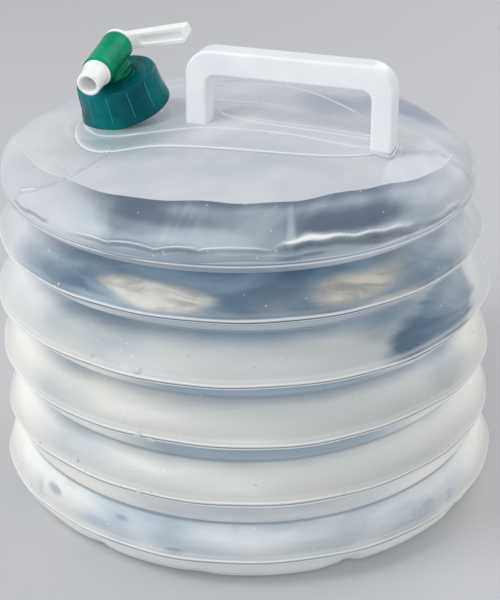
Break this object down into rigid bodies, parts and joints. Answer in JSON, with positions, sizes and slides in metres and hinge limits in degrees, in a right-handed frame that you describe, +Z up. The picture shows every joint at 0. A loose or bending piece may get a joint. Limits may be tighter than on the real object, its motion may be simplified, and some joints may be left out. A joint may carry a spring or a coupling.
{
  "type": "collapsible water carrier",
  "caption": "Pleated clear water bag that folds flat, with a bail handle on top and a tilted screw cap that carries a lever tap.",
  "frame": {"origin": "centre of the underside, on the floor", "axes": "+Z up through the bag's axis; the carry handle and the top fitting run along X with the neck at -X; the tap's mouth points to -Y"},
  "size_m": [0.3044, 0.3044, 0.2896],
  "materials": {
    "film": "clear, slightly milky film",
    "moulded_film": "milky translucent moulding",
    "handle_plastic": "milky satin moulding",
    "cap_plastic": "dark green gloss",
    "tap_plastic": "translucent green gloss",
    "white_plastic": "white satin",
    "seal_rubber": "matt"
  },
  "bodies": {
    "base": {"bag_base": "film", "bag_fold_1": "film"},
    "fold_2": {"bag_fold_2": "film"},
    "fold_3": {"bag_fold_3": "film"},
    "fold_4": {"bag_fold_4": "film"},
    "fold_5": {"bag_fold_5": "film"},
    "shoulder": {"bag_shoulder": "film", "top_fitting": "moulded_film", "carry_handle": "handle_plastic"},
    "liner": {"cap_liner": "seal_rubber"},
    "cap": {"cap_shell": "cap_plastic"},
    "tap": {"tap_body": "tap_plastic", "stem_washer": "seal_rubber", "stem_snap_ring": "white_plastic"},
    "valve": {"valve_core": "white_plastic", "core_seal_front": "seal_rubber", "core_seal_rear": "seal_rubber"}
  },
  "joints": [
    {"name": "squeeze_1", "type": "slide", "parent": "base", "child": "fold_2", "axis": [0, 0, 1], "range_m": [-0.02407, 0], "deforming": ["bag_fold_1"]},
    {"name": "squeeze_2", "type": "slide", "parent": "fold_2", "child": "fold_3", "axis": [0, 0, 1], "range_m": [-0.0302, 0], "deforming": ["bag_fold_2"]},
    {"name": "squeeze_3", "type": "slide", "parent": "fold_3", "child": "fold_4", "axis": [0, 0, 1], "range_m": [-0.0302, 0], "deforming": ["bag_fold_3"]},
    {"name": "squeeze_4", "type": "slide", "parent": "fold_4", "child": "fold_5", "axis": [0, 0, 1], "range_m": [-0.0302, 0], "deforming": ["bag_fold_4"]},
    {"name": "squeeze_5", "type": "slide", "parent": "fold_5", "child": "shoulder", "axis": [0, 0, 1], "range_m": [-0.0302, 0], "deforming": ["bag_fold_5"]},
    {"name": "cap_lift", "type": "slide", "parent": "shoulder", "child": "liner", "axis": [-0.2045, -0.2272, 0.9521], "range_m": [0, 0.06]},
    {"name": "cap_turn", "type": "hinge", "parent": "liner", "child": "cap", "pos_m": [-0.069, -0.018, 0.23547], "axis": [-0.2045, -0.2272, 0.9521], "range_deg": [0, 540]},
    {"name": "tap_swivel", "type": "hinge", "parent": "cap", "child": "tap", "pos_m": [-0.0737, -0.02323, 0.25737], "axis": [-0.2045, -0.2272, 0.9521], "continuous": true},
    {"name": "tap_lever", "type": "hinge", "parent": "tap", "child": "valve", "pos_m": [-0.0762, -0.026, 0.26899], "axis": [-0.0121, -0.972, -0.2345], "range_deg": [0, 88]}
  ],
  "couplings": [
    {"joint": "squeeze_1", "follows": "squeeze_5", "ratio": 0.7964},
    {"joint": "squeeze_2", "follows": "squeeze_5", "ratio": 1},
    {"joint": "squeeze_3", "follows": "squeeze_5", "ratio": 1},
    {"joint": "squeeze_4", "follows": "squeeze_5", "ratio": 1}
  ]
}
